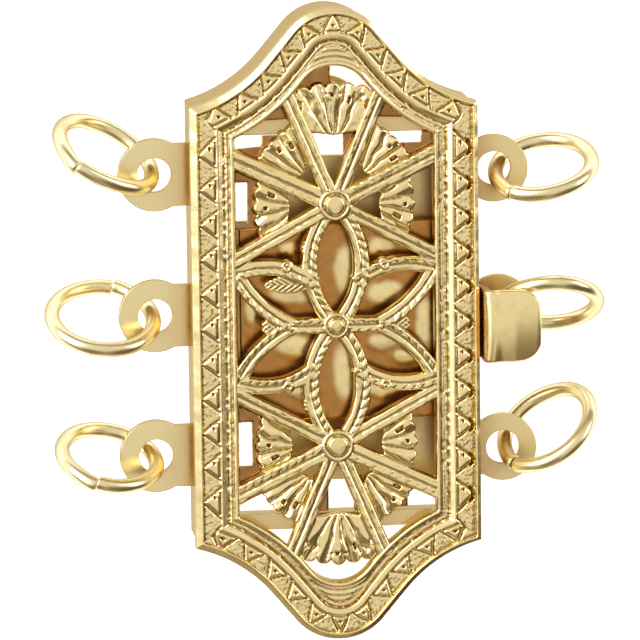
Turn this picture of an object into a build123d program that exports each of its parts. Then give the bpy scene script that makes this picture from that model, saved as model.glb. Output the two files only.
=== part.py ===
"""Three-strand filigree box clasp, closed, lying on its back.

Millimetres. The origin is the centre of the back, X runs from the box's lugs to the tongue's lugs,
Y along the clasp towards its upper point, and +Z out through the filigree.
"""

import os
from math import atan2, cos, degrees, radians, sin, sqrt

from build123d import *

# Outline of the cover
half_width = 5.5
shoulder_y = 8.5
peak_y = 12.2
peak_radius = 2.18
flank_angle = 50.0
sweep_radius = 5.5

# Box
wall_inset = 0.12
wall = 0.45
wall_height = 2.8
back_thickness = 0.45
back_half_length = 3.2
end_plate_width = 0.5
end_plate_y = 7.9
end_plate_crown = 1.5
end_plate_inset = 2.15
cross_bar_y = 7.35
cross_bar_width = 0.6
cross_bar_height = 0.8

# Sheet tongue and its spring leaf
sheet = 0.35
plate_mid_z = 1.45
plate_half_length = 6.3
plate_nose_x = -3.0
leaf_mid_z = 2.175
leaf_half_length = 3.84
fold_x = -3.6
hinge_gap = 0.06
latch_gap = 0.25
slot_play = 0.12
slot_drop = 0.075
leaf_slot_play = 0.05
lug_strip_gap = 0.09

# Thumb tab
tab_half_width = 1.4
tab_corner = 0.85
tab_reach = 2.35
tab_y = -0.18
tab_top_z = 3.76
tab_end_drop = 0.12
tab_gap = 0.125
tab_bend = 0.28
tab_bow = 1.6
notch_play = 0.15

# Lugs and jump rings
lug_pitch = 5.45
lug_sheet = 0.33
left_lug_reach = 1.3
left_lug_y = 0.33
left_lug_skew = -0.5
left_lug_z = 1.75
left_lug_radius = 1.4
left_neck_half_width = 1.2
right_lug_reach = 1.0
right_lug_y = 0.19
right_lug_skew = 1.35
right_lug_radius = 1.3
right_neck_half_width = 1.05
lug_hole_radius = 0.66
ring_radius = 1.87
wire_radius = 0.29
ring_gap_angle = 3.0
ring_play = 0.1

# Cover
rim_width = 1.7
rim_thickness = 0.6
relief = 0.16
border_width = 0.3
ridge_inset = 1.22
ridge_width = 0.26
tooth_inset = 0.38
tooth_depth = 0.62
tooth_pitch = 1.27
tooth_width = 1.07
crown_radius = 1.4
filigree_lift = 0.12
filigree_thickness = 0.5
fan_thickness = 0.32
hub_y = 4.66
hub_radius = 0.62
hub_height = 0.22
hub_step = 0.09
bead_radius = 0.42
centre_hub_radius = 0.5
centre_bead_radius = 0.33
spoke_width = 0.5
spoke_angles = (67.0, 25.5, -28.0)
rail_width = 0.15
rail_offset = 0.16
rib_width = 0.44
lobe_radius = 0.3
lobe_rib_width = 0.2
fan_throat = 0.4
fan_edge_angle = 1.5
petal_half_width = 0.86
stem_length = 1.6
sepal_root = (0.77, 1.6)
sepal_crest = (1.9, 2.2)
sepal_tip_y = 2.1
sepal_belly = (2.6, 0.6)
rail_relief = 0.1

# Places worked out from these sizes
flank_sin = sin(radians(flank_angle))
flank_cos = cos(radians(flank_angle))
flank_offset = (peak_y - peak_radius) * flank_cos + peak_radius
shoulder_rise = half_width * flank_sin + shoulder_y * flank_cos - flank_offset
shoulder_run = half_width * flank_cos - shoulder_y * flank_sin
sweep_run = shoulder_run - sqrt(2 * shoulder_rise * sweep_radius - shoulder_rise**2)
sweep_x = sweep_run * flank_cos + (flank_offset + sweep_radius) * flank_sin
sweep_y = -sweep_run * flank_sin + (flank_offset + sweep_radius) * flank_cos
wall_outer_x = half_width - wall_inset
left_lug_x = -half_width - left_lug_reach
right_lug_x = half_width + right_lug_reach
tab_end_x = half_width + tab_reach
wall_inner_x = wall_outer_x - wall
plate_bottom = plate_mid_z - sheet / 2
leaf_top = leaf_mid_z + sheet / 2
fold_z = (plate_mid_z + leaf_mid_z) / 2
fold_radius = (leaf_mid_z - plate_mid_z) / 2
strip_x = wall_outer_x + lug_strip_gap
rim_top = wall_height + rim_thickness
filigree_bottom = wall_height + filigree_lift
filigree_top = filigree_bottom + filigree_thickness
opening_x = half_width - rim_width
through_height = 2 * wall_height


def outline(inset, crown=None):
    """Closed outline of the cover, moved in by inset, its two points rounded to crown."""
    point_radius = peak_radius - inset if crown is None else crown
    point_y = (flank_offset - inset - point_radius) / flank_cos
    point_end = (point_radius * flank_sin, point_y + point_radius * flank_cos)
    arc_radius = sweep_radius + inset
    arc_start = (sweep_x - arc_radius * flank_sin, sweep_y - arc_radius * flank_cos)
    side_x = half_width - inset
    side_y = sweep_y - sqrt(arc_radius**2 - (sweep_x - side_x) ** 2)
    start_angle = 270 - flank_angle
    end_angle = degrees(atan2(side_y - sweep_y, side_x - sweep_x)) % 360
    with BuildLine() as border:
        Line((side_x, 0), (side_x, side_y))
        CenterArc((sweep_x, sweep_y), arc_radius, start_angle, end_angle - start_angle)
        Line(arc_start, point_end)
        CenterArc((0, point_y), point_radius, 90 - flank_angle, flank_angle)
        mirror(about=Plane.YZ)
        mirror(about=Plane.XZ)
    return border.line


def place(x, y, angle=0.0):
    """Place and turn in the plane of a sketch."""
    return Location((x, y, 0), (0, 0, angle))


def lug_places(side_x, side_y, skew):
    """Centres of three lug holes in a row, turned by skew about the middle one."""
    steps = [1, 0, -1]
    return [
        (side_x - sin(radians(skew)) * lug_pitch * step, side_y + cos(radians(skew)) * lug_pitch * step)
        for step in steps
    ]


left_lugs = lug_places(left_lug_x, left_lug_y, left_lug_skew)
right_lugs = lug_places(right_lug_x, right_lug_y, right_lug_skew)


# Box: walls, back, cross bars and the lugs soldered to its left wall
with BuildPart() as box_frame:
    with BuildSketch():
        make_face(outline(wall_inset).edges())
        make_face(outline(wall_inset + wall).edges(), mode=Mode.SUBTRACT)
    extrude(amount=wall_height)
    with BuildSketch():
        Rectangle(2 * wall_inner_x + wall, 2 * back_half_length)
    extrude(amount=back_thickness)
    with BuildSketch():
        make_face(outline(wall_inset + wall / 2).edges())
        Rectangle(2 * half_width, 2 * end_plate_y, mode=Mode.SUBTRACT)
        with BuildSketch(mode=Mode.INTERSECT):
            make_face(outline(end_plate_inset, end_plate_crown).edges())
            for side in (1, -1):
                with Locations((0, side * (end_plate_y + end_plate_width / 2))):
                    Rectangle(2 * half_width, end_plate_width)
    extrude(amount=back_thickness)
    with BuildSketch(Plane.XY.offset(wall_height - cross_bar_height)):
        for side in (1, -1):
            with Locations((0, side * (cross_bar_y + cross_bar_width / 2))):
                Rectangle(2 * wall_inner_x + wall, cross_bar_width)
    extrude(amount=cross_bar_height)
    with BuildSketch(Plane.XY.offset(left_lug_z - lug_sheet / 2)):
        for x, y in left_lugs:
            neck_length = -wall_inner_x - wall / 2 - x
            with Locations((x, y)):
                Circle(left_lug_radius)
            with Locations((x + neck_length / 2, y)):
                Rectangle(neck_length, 2 * left_neck_half_width)
        with Locations(*left_lugs):
            Circle(lug_hole_radius, mode=Mode.SUBTRACT)
    extrude(amount=lug_sheet)
    slot_width = 3 * wall
    with BuildSketch(Plane.XY.offset(plate_bottom - slot_drop)):
        with Locations((wall_inner_x + wall / 2, 0)):
            Rectangle(slot_width, 2 * (plate_half_length + slot_play))
    extrude(amount=sheet + 2 * slot_drop, mode=Mode.SUBTRACT)
    with BuildSketch(Plane.XY.offset(plate_mid_z)):
        with Locations((wall_inner_x + wall / 2, 0)):
            Rectangle(slot_width, 2 * (leaf_half_length + slot_play))
    extrude(amount=leaf_top + leaf_slot_play - plate_mid_z, mode=Mode.SUBTRACT)
    with BuildSketch(Plane.XY.offset(leaf_mid_z)):
        with Locations((wall_inner_x + wall / 2, tab_y)):
            Rectangle(slot_width, 2 * (tab_half_width + notch_play))
    extrude(amount=wall_height, mode=Mode.SUBTRACT)
box_frame.part.label = "box_frame"


# Pierced cover: rim with engraved border, two rosettes and the flower between them
fans = [
    {"angle": 90.0, "gap": 23.0, "inner": 2.65, "middle": 3.6, "outer": 4.6, "spread": 13.0},
    {"angle": 46.0, "gap": 20.8, "inner": 1.65, "middle": 2.6, "outer": 3.45, "spread": 15.0},
    {"angle": 134.0, "gap": 20.8, "inner": 1.65, "middle": 2.6, "outer": 3.45, "spread": 15.0},
    {"angle": -1.0, "gap": 26.8, "inner": 1.7, "middle": 2.2, "outer": 3.1, "spread": 20.0},
    {"angle": 181.0, "gap": 26.8, "inner": 1.7, "middle": 2.2, "outer": 3.1, "spread": 20.0},
]
lobe_count = 5


def mirrored(point, side_x, side_y):
    """A point of the upper right quarter, carried to another quarter."""
    return (side_x * point[0], side_y * point[1])


def ribs(side_x, side_y):
    """Curved ribs of a quarter of the flower, as open lines."""
    sepal_tip = (side_x * opening_x, side_y * sepal_tip_y)
    with BuildLine() as petal:
        ThreePointArc((0, 0), (side_x * petal_half_width, side_y * hub_y / 2), (0, side_y * hub_y))
    with BuildLine() as upper:
        ThreePointArc(mirrored(sepal_root, side_x, side_y), mirrored(sepal_crest, side_x, side_y), sepal_tip)
    with BuildLine() as lower:
        Line((0, 0), (side_x * stem_length, 0))
        ThreePointArc((side_x * stem_length, 0), mirrored(sepal_belly, side_x, side_y), sepal_tip)
    return [petal.line, upper.line, lower.line]


def polar(radius, angle):
    """Point at a radius and an angle in degrees."""
    return (radius * cos(radians(angle)), radius * sin(radians(angle)))


with BuildPart() as filigree_cover:
    with BuildSketch(Plane.XY.offset(wall_height)):
        make_face(outline(0).edges())
        make_face(outline(rim_width, crown_radius).edges(), mode=Mode.SUBTRACT)
    extrude(amount=rim_thickness)
    with BuildSketch(Plane.XY.offset(rim_top)):
        make_face(outline(0).edges())
        make_face(outline(border_width).edges(), mode=Mode.SUBTRACT)
    extrude(amount=relief)
    with BuildSketch(Plane.XY.offset(rim_top)):
        make_face(outline(ridge_inset).edges())
        make_face(outline(ridge_inset + ridge_width).edges(), mode=Mode.SUBTRACT)
    extrude(amount=relief)
    tooth_line = outline(tooth_inset)
    tooth_wire = Wire(tooth_line.edges())
    tooth_count = 2 * round(tooth_wire.length / tooth_pitch / 2)
    with BuildSketch(Plane.XY.offset(rim_top)):
        for index in range(tooth_count):
            spot = tooth_wire.position_at((index + 0.5) / tooth_count)
            along = tooth_wire.tangent_at((index + 0.5) / tooth_count)
            turn = degrees(atan2(along.Y, along.X))
            inward = 1 if (along.X * spot.Y - along.Y * spot.X) < 0 else -1
            half_base = tooth_width / 2
            with Locations(place(spot.X, spot.Y, turn)):
                Polygon((-half_base, 0), (half_base, 0), (0, inward * tooth_depth), align=None)
        make_face(tooth_line.edges(), mode=Mode.INTERSECT)
    extrude(amount=relief)
    with BuildSketch(Plane.XY.offset(filigree_bottom)):
        for side in (1, -1):
            for angle in spoke_angles:
                for spoke_angle in (angle, 180 - angle):
                    with Locations(place(0, side * hub_y, side * spoke_angle)):
                        Rectangle(peak_y, spoke_width, align=(Align.MIN, Align.CENTER))
            with Locations((0, side * hub_y)):
                Circle(hub_radius)
            for side_x in (1, -1):
                for line in ribs(side_x, side):
                    trace(line, line_width=rib_width)
        Circle(centre_hub_radius)
        make_face(outline(rim_width - rail_width, crown_radius).edges(), mode=Mode.INTERSECT)
    extrude(amount=filigree_thickness)
    with BuildSketch(Plane.XY.offset(filigree_top)):
        for side in (1, -1):
            for angle in spoke_angles:
                for spoke_angle in (angle, 180 - angle):
                    with Locations(place(0, side * hub_y, side * spoke_angle)):
                        with Locations((0, rail_offset), (0, -rail_offset)):
                            Rectangle(peak_y, rail_width, align=(Align.MIN, Align.CENTER))
            for side_x in (1, -1):
                for line in ribs(side_x, side):
                    trace(line, line_width=rail_width)
        make_face(outline(rim_width - rail_width, crown_radius).edges(), mode=Mode.INTERSECT)
    extrude(amount=rail_relief)
    with BuildSketch(Plane.XY.offset(filigree_bottom)):
        for side in (1, -1):
            for fan in fans:
                edge = fan["gap"] - fan_edge_angle
                corners = [
                    polar(fan["inner"], 0),
                    polar(fan["inner"] + fan_throat, edge),
                    polar(fan["middle"], edge),
                    polar(fan["outer"] - lobe_radius, fan["spread"]),
                    polar(fan["outer"] - lobe_radius, -fan["spread"]),
                    polar(fan["middle"], -edge),
                    polar(fan["inner"] + fan_throat, -edge),
                ]
                with Locations(place(0, side * hub_y, side * fan["angle"])):
                    Polygon(*corners, align=None)
                for index in range(lobe_count):
                    lobe_angle = fan["spread"] * (2 * index / (lobe_count - 1) - 1)
                    lobe_x, lobe_y = polar(fan["outer"] - lobe_radius, side * (fan["angle"] + lobe_angle))
                    with Locations((lobe_x, lobe_y + side * hub_y)):
                        Circle(lobe_radius)
        make_face(outline(rim_width - rail_width, crown_radius).edges(), mode=Mode.INTERSECT)
    extrude(amount=fan_thickness)
    with BuildSketch(Plane.XY.offset(filigree_bottom + fan_thickness)):
        for side in (1, -1):
            for fan in fans:
                for index in range(lobe_count):
                    lobe_angle = side * (fan["angle"] + fan["spread"] * (2 * index / (lobe_count - 1) - 1))
                    with Locations(place(0, side * hub_y, lobe_angle)):
                        with Locations((fan["inner"] + lobe_radius, 0)):
                            Rectangle(fan["outer"] - fan["inner"] - 2 * lobe_radius, lobe_rib_width,
                                      align=(Align.MIN, Align.CENTER))
        make_face(outline(rim_width, crown_radius).edges(), mode=Mode.INTERSECT)
    extrude(amount=rail_relief)
    for place_y, radius, bead in ((hub_y, hub_radius, bead_radius), (0, centre_hub_radius, centre_bead_radius),
                                  (-hub_y, hub_radius, bead_radius)):
        with Locations((0, place_y, filigree_top)):
            Cylinder(radius - hub_step, hub_height, align=(Align.CENTER, Align.CENTER, Align.MIN))
            Sphere(bead)
filigree_cover.part.label = "filigree_cover"


# Tongue: the lower plate that slides in, its fold and the strip of right lugs
with BuildPart() as tongue_plate:
    with BuildSketch(Plane.XY.offset(plate_bottom)):
        with Locations((plate_nose_x, 0)):
            Rectangle(strip_x - plate_nose_x, 2 * plate_half_length, align=(Align.MIN, Align.CENTER))
        with Locations((fold_x, 0)):
            Rectangle(strip_x - fold_x, 2 * leaf_half_length, align=(Align.MIN, Align.CENTER))
        for x, y in right_lugs:
            with Locations((strip_x, y)):
                Rectangle(x - strip_x, 2 * right_neck_half_width, align=(Align.MIN, Align.CENTER))
            with BuildSketch(mode=Mode.ADD):
                with Locations((x, y)):
                    Circle(right_lug_radius)
                with Locations((strip_x, y)):
                    Rectangle(4 * right_lug_radius, 4 * right_lug_radius, align=(Align.MIN, Align.CENTER),
                              mode=Mode.INTERSECT)
        with Locations(*right_lugs):
            Circle(lug_hole_radius, mode=Mode.SUBTRACT)
    extrude(amount=sheet)
    with BuildSketch(Plane.XZ):
        with Locations((fold_x, fold_z)):
            Circle(fold_radius + sheet / 2)
            Circle(fold_radius - sheet / 2, mode=Mode.SUBTRACT)
        with Locations((fold_x, fold_z)):
            Rectangle(4 * fold_radius, 4 * fold_radius, align=(Align.MIN, Align.CENTER), mode=Mode.SUBTRACT)
    extrude(amount=leaf_half_length, both=True)
tongue_plate.part.label = "tongue_plate"


# Spring leaf: the upper plate whose shoulders latch behind the slot, with the thumb tab
leaf_start_x = fold_x + hinge_gap
shoulder_x = wall_inner_x - latch_gap
riser_x = half_width + tab_gap + sheet / 2
with BuildPart() as spring_leaf:
    with BuildSketch(Plane.XZ):
        with BuildLine() as bend:
            FilletPolyline(
                (leaf_start_x, leaf_mid_z),
                (riser_x, leaf_mid_z),
                (riser_x, tab_top_z),
                ((riser_x + tab_end_x) / 2, tab_top_z),
                (tab_end_x, tab_top_z - tab_end_drop),
                radius=[tab_bend, tab_bend, tab_bow],
            )
        trace(line_width=sheet)
    extrude(amount=leaf_half_length, both=True)
    with BuildSketch():
        with Locations((leaf_start_x, 0)):
            Rectangle(shoulder_x - leaf_start_x, 2 * leaf_half_length, align=(Align.MIN, Align.CENTER))
        with Locations((tab_end_x, tab_y)):
            RectangleRounded(tab_end_x, 2 * tab_half_width, tab_corner, align=(Align.MAX, Align.CENTER))
    extrude(amount=through_height, mode=Mode.INTERSECT)
spring_leaf.part.label = "spring_leaf"


# Jump rings: each one runs outwards from its lug hole, turned, raised and leaning as it lies
ring_table = [
    {"name": "ring_left_top", "hole": left_lugs[0], "side": -1, "turn": 25, "raise": 9, "lean": -66, "cut": 50},
    {"name": "ring_left_middle", "hole": left_lugs[1], "side": -1, "turn": 1, "raise": 7, "lean": -61, "cut": -110},
    {"name": "ring_left_bottom", "hole": left_lugs[2], "side": -1, "turn": 3, "raise": 20, "lean": -64, "cut": 54},
    {"name": "ring_right_top", "hole": right_lugs[0], "side": 1, "turn": 2, "raise": 21, "lean": -64, "cut": 118},
    {"name": "ring_right_middle", "hole": right_lugs[1], "side": 1, "turn": 6, "raise": 14, "lean": 55, "cut": 170},
    {"name": "ring_right_bottom", "hole": right_lugs[2], "side": 1, "turn": 27, "raise": 20, "lean": -62, "cut": 140},
]


def jump_ring(row):
    """Open ring of round wire through a lug hole."""
    turn = radians(row["turn"])
    rise = radians(row["raise"])
    lean = radians(abs(row["lean"]))
    facing = 1 if row["lean"] > 0 else -1
    outward = Vector(row["side"] * cos(rise) * cos(turn), cos(rise) * sin(turn), sin(rise))
    level = Vector(-row["side"] * sin(turn), cos(turn), 0)
    upward = outward.cross(level) * row["side"]
    across = level * facing * cos(lean) + upward * sin(lean)
    lug_z = left_lug_z if row["side"] < 0 else plate_mid_z
    centre = Vector(row["hole"][0], row["hole"][1], lug_z) + outward * (ring_radius + ring_play)
    cut = radians(row["cut"])
    ring_axis = outward.cross(across)
    radial = outward * cos(cut) + across * sin(cut)
    with BuildPart() as ring:
        with BuildSketch(Plane(origin=centre, x_dir=radial, z_dir=radial.cross(ring_axis))):
            with Locations((ring_radius, 0)):
                Circle(wire_radius)
        revolve(axis=Axis(centre, ring_axis), revolution_arc=360 - ring_gap_angle)
    ring.part.label = row["name"]
    return ring.part


rings = [jump_ring(row) for row in ring_table]

os.makedirs("parts", exist_ok=True)
for piece in (box_frame.part, filigree_cover.part, tongue_plate.part, spring_leaf.part, *rings):
    export_step(piece, f"parts/{piece.label}.step")
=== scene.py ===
"""Looks of the three-strand filigree box clasp: cast cover, polished box and tongue, round-wire rings."""

from math import atan2, cos, hypot, pi, radians, sin, sqrt

import bpy
import numpy as np
from mathutils import Matrix, Vector
from mathutils.geometry import delaunay_2d_cdt


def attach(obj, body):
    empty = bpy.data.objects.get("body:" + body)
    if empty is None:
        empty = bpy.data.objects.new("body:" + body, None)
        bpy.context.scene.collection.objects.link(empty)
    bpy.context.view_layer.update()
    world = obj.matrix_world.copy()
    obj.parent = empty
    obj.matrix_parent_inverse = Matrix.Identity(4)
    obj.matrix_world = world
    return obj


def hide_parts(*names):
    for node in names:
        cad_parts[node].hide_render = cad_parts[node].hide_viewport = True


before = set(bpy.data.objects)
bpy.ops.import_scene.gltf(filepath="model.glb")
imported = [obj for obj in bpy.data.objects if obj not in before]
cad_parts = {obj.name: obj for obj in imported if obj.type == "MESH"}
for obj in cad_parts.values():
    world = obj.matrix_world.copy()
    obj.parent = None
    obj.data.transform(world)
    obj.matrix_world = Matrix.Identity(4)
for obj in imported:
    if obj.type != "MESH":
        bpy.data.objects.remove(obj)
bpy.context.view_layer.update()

MM = 0.001

# Outline of the cover, in millimetres as in the part
half_width = 5.5
peak_y = 12.2
shoulder_y = 8.5
peak_radius = 2.18
flank_angle = radians(50)
sweep_radius = 5.5
rim_width = 1.7
crown_radius = 1.4
rim_bottom = 2.8
filigree_bottom = 2.92
hub_y = 4.66

flank_sin = sin(flank_angle)
flank_cos = cos(flank_angle)
flank_offset = (peak_y - peak_radius) * flank_cos + peak_radius
shoulder_rise = half_width * flank_sin + shoulder_y * flank_cos - flank_offset
shoulder_run = half_width * flank_cos - shoulder_y * flank_sin
sweep_run = shoulder_run - sqrt(2 * shoulder_rise * sweep_radius - shoulder_rise**2)
sweep_x = sweep_run * flank_cos + (flank_offset + sweep_radius) * flank_sin
sweep_y = -sweep_run * flank_sin + (flank_offset + sweep_radius) * flank_cos

# Relief of the cover, in millimetres
relief_step = 0.035
snap_share = 0.3
sample_spread = 0.012
edge_round = 0.07
rim_overlap = 0.15

# Painted shade in the hollows of the cover: how far round each point the top is sampled, how deep a hollow
# turns fully brown, and how many samples
cavity_reach = 0.05
cavity_depth = 0.026
cavity_samples = 6

# Engraved band of the rim, its places measured in from the edge
band_inset = 0.65
band_face = 3.46
band_end = 0.45
border_top = 3.57
border_slope = 0.65
border_fall = 2.0
tooth_apex = 0.25
tooth_base = 0.8
tooth_half = 0.39
tooth_length = 1.28
tooth_cut = 0.1
cut_outset = 0.035
cut_half = 0.05
pit_place = 0.66
pit_depth = 0.16
scoop_depth = 0.25
side_end = 8.3
side_blend = 0.6
side_shift = 0.035
base_groove = 0.86
base_groove_depth = 0.12
ridge_start = 0.84
ridge_full = 0.92
ridge_crest = 0.98
shelf_start = 1.17
shelf_line_pitch = 0.11
dash_place = 1.22
dash_depth = 0.13
fine_line = 1.42
rail_start = 1.48
rail_end = 0.21
mitre_blend = 0.25

# Runs along the rim at which the teeth of these numbers stand, from the middle of a side to the point
tooth_runs = (0.0, 6.7, 8.45, 13.17, 14.17)
tooth_numbers = (0, 5, 6, 10, 11)

# Ribs of the pierced work, and the angle, half width and share of beads of each spoke
spokes = ((67.0, 0.3, 0.12), (25.5, 0.36, 0.25), (-28.0, 0.29, 0.12))
rib_half = 0.3
rib_face = 3.34
rail_rise = 0.1
rail_share = 0.5
rope_pitch = 0.36
rope_slant = 0.8
petal_beads = 0.6
sepal_beads = 0.45
stem_beads = 0.5
hub_place = (0, hub_y)
petal_half_width = 1.0
stem_end = (1.6, 0)
sepal_root = (0.77, 1.6)
sepal_crest = (1.9, 2.2)
sepal_tip = (half_width - rim_width, 2.1)
sepal_belly = (2.6, 0.6)

# Hubs, each a collar with a flat-faced bead
hub_radius = 0.62
hub_bead = 0.45
centre_radius = 0.5
centre_bead = 0.36
collar_face = 3.36
cap_face = 3.46

# Scallops, five round each hub and measured from it
low_face = 3.26
lobe_radius = 0.3
lobe_count = 5
groove_count = 4
groove_depth = 0.14
fan_focus = 0.35
fan_pit_half = 0.09
fan_pit_depth = 0.2
fan_throat = 0.4
fan_edge_angle = 1.5
fans = [
    {"angle": 90.0, "gap": 23.0, "inner": 2.65, "middle": 3.6, "outer": 4.68, "spread": 15.0},
    {"angle": 46.0, "gap": 20.8, "inner": 1.65, "middle": 2.6, "outer": 3.45, "spread": 15.0},
    {"angle": 134.0, "gap": 20.8, "inner": 1.65, "middle": 2.6, "outer": 3.45, "spread": 15.0},
    {"angle": -1.0, "gap": 26.8, "inner": 1.7, "middle": 2.2, "outer": 3.1, "spread": 20.0},
    {"angle": 181.0, "gap": 26.8, "inner": 1.7, "middle": 2.2, "outer": 3.1, "spread": 20.0},
]

# Small leaves with root, tip and half width, knobs with middle and radius
leaves = [((0.55, 3.85), (1.25, 2.75), 0.27), ((1.25, 0.06), (2.85, 0.1), 0.33)]
feather = ((-0.9, 1.62), (-2.75, 1.62), 0.34)
curls = [((1.85, 2.32), 0.24)]
curl_face = 3.4

# Thin webs of metal that narrow the openings, lower than the rest and painted brown as shade
web_top = 3.0
web_shade_height = 3.12
webs = [
    ((-3.81, 6.84), (-2.75, 6.92), (-2.7, 7.34), (-2.15, 7.34), (-2.0, 6.38), (-3.2, 5.79), (-3.81, 6.07)),
    ((3.4, 7.38), (3.96, 7.38), (3.96, 5.99), (2.26, 6.45), (2.15, 6.92), (3.36, 6.92)),
    ((-3.81, 6.45), (-2.75, 5.99), (-2.94, 5.2), (-2.94, 3.75), (-3.81, 3.75), (-3.81, 3.97),
     (-3.32, 4.0), (-3.3, 5.56), (-3.81, 5.56)),
    ((-3.81, -3.12), (-2.94, -3.12), (-2.94, -6.3), (-3.81, -6.8), (-3.81, -5.41), (-3.25, -5.41),
     (-3.25, -3.7), (-3.81, -3.7)),
    ((-2.38, -6.57), (-1.7, -6.72), (-1.8, -7.2), (-2.38, -7.2)),
    ((-0.9, -5.83), (-0.34, -6.03), (-0.34, -7.27), (-1.1, -7.27)),
    ((0.64, -5.95), (1.1, -5.87), (1.32, -7.27), (0.64, -7.27)),
    ((2.72, -6.5), (2.72, -7.2), (1.85, -7.2), (2.0, -6.8)),
    ((0.38, 7.62), (1.1, 7.62), (0.87, 6.38), (0.38, 6.38)),
    ((-2.8, 8.5), (-1.6, 9.1), (-1.4, 7.95), (-2.8, 7.9)),
    ((1.5, 9.1), (2.9, 8.5), (2.8, 7.9), (1.4, 7.95)),
    ((-1.47, 8.7), (-1.32, 9.67), (-0.64, 10.17), (-0.08, 10.25), (-0.08, 8.7)),
]


def value_noise(x, y, cell, seed):
    """Smooth random field from -1 to 1, with features about one cell wide."""
    count = 64
    table = np.random.default_rng(seed).uniform(-1, 1, (count, count))
    column = x / cell + count
    row = y / cell + count
    left = np.floor(column).astype(int)
    lower = np.floor(row).astype(int)
    across = column - left
    up = row - lower
    across = across * across * (3 - 2 * across)
    up = up * up * (3 - 2 * up)

    def corner(shift_x, shift_y):
        return table[(lower + shift_y) % count, (left + shift_x) % count]

    low = corner(0, 0) * (1 - across) + corner(1, 0) * across
    high = corner(0, 1) * (1 - across) + corner(1, 1) * across
    return low * (1 - up) + high * up


def dome(distance, half):
    """Half-round profile: 1 on the line, 0 from half away."""
    return np.sqrt(np.clip(1 - (distance / half) ** 2, 0, 1))


def ditch(distance, half):
    """V-shaped profile: 1 on the line, 0 from half away."""
    return np.clip(1 - np.abs(distance) / half, 0, 1)


def band_profile(distance, half):
    """Flat-faced profile with rounded edges: 1 on the line, 0 from half away."""
    return np.sqrt(np.clip(1 - (distance / half) ** 4, 0, 1))


def edge_drop(depth):
    """How far a rounded edge falls at a depth inside its outline."""
    return edge_round * (1 - np.sqrt(1 - np.clip(1 - depth / edge_round, 0, 1) ** 2))


def upper_zones(across, up, inset, point_radius, point, flank, sweep):
    """Picks the value that belongs to the rounded point, the straight flank or the sweep."""
    point_y = (flank_offset - inset - point_radius) / flank_cos
    along = across * flank_cos - up * flank_sin
    return np.where(along < -point_y * flank_sin, point, np.where(along < sweep_run, flank, sweep))


def upper_depth(across, up, inset, point_radius):
    """Depth below the upper edge of the outline moved in by inset."""
    point_y = (flank_offset - inset - point_radius) / flank_cos
    flank = flank_offset - inset - across * flank_sin - up * flank_cos
    sweep = np.hypot(across - sweep_x, up - sweep_y) - sweep_radius - inset
    point = point_radius - np.hypot(across, up - point_y)
    return upper_zones(across, up, inset, point_radius, point, flank, sweep)


def outline_depth(x, y, inset=0.0, crown=None):
    """How far a point lies inside the cover's outline moved in by inset, its points rounded to crown."""
    point_radius = peak_radius - inset if crown is None else crown
    upper = upper_depth(np.abs(x), np.abs(y), inset, point_radius)
    return np.minimum(half_width - inset - np.abs(x), upper)


def rim_run(x, y):
    """Length along the rim from the middle of a side towards the nearer point."""
    across = np.abs(x)
    up = np.abs(y)
    arc_radius = sweep_radius + band_inset
    corner_x = half_width - band_inset
    corner_y = sweep_y - sqrt(arc_radius**2 - (sweep_x - corner_x) ** 2)
    corner_angle = atan2(sweep_y - corner_y, sweep_x - corner_x)
    flank_run = corner_y + arc_radius * (corner_angle - (pi / 2 - flank_angle))
    point_y = peak_y - peak_radius
    point_run = flank_run + sweep_run + point_y * flank_sin
    along = across * flank_cos - up * flank_sin
    sweep = corner_y + arc_radius * (corner_angle - np.arctan2(sweep_y - up, sweep_x - across))
    flank = flank_run + sweep_run - along
    point = point_run + (peak_radius - band_inset) * (flank_angle - np.arctan2(across, up - point_y))
    upper = upper_zones(across, up, 0, peak_radius, point, flank, sweep)
    past = upper_depth(across, up, 0, peak_radius) - (half_width - across)
    share = np.clip(0.5 + past / (2 * mitre_blend), 0, 1)
    return up * share + upper * (1 - share)


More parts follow.
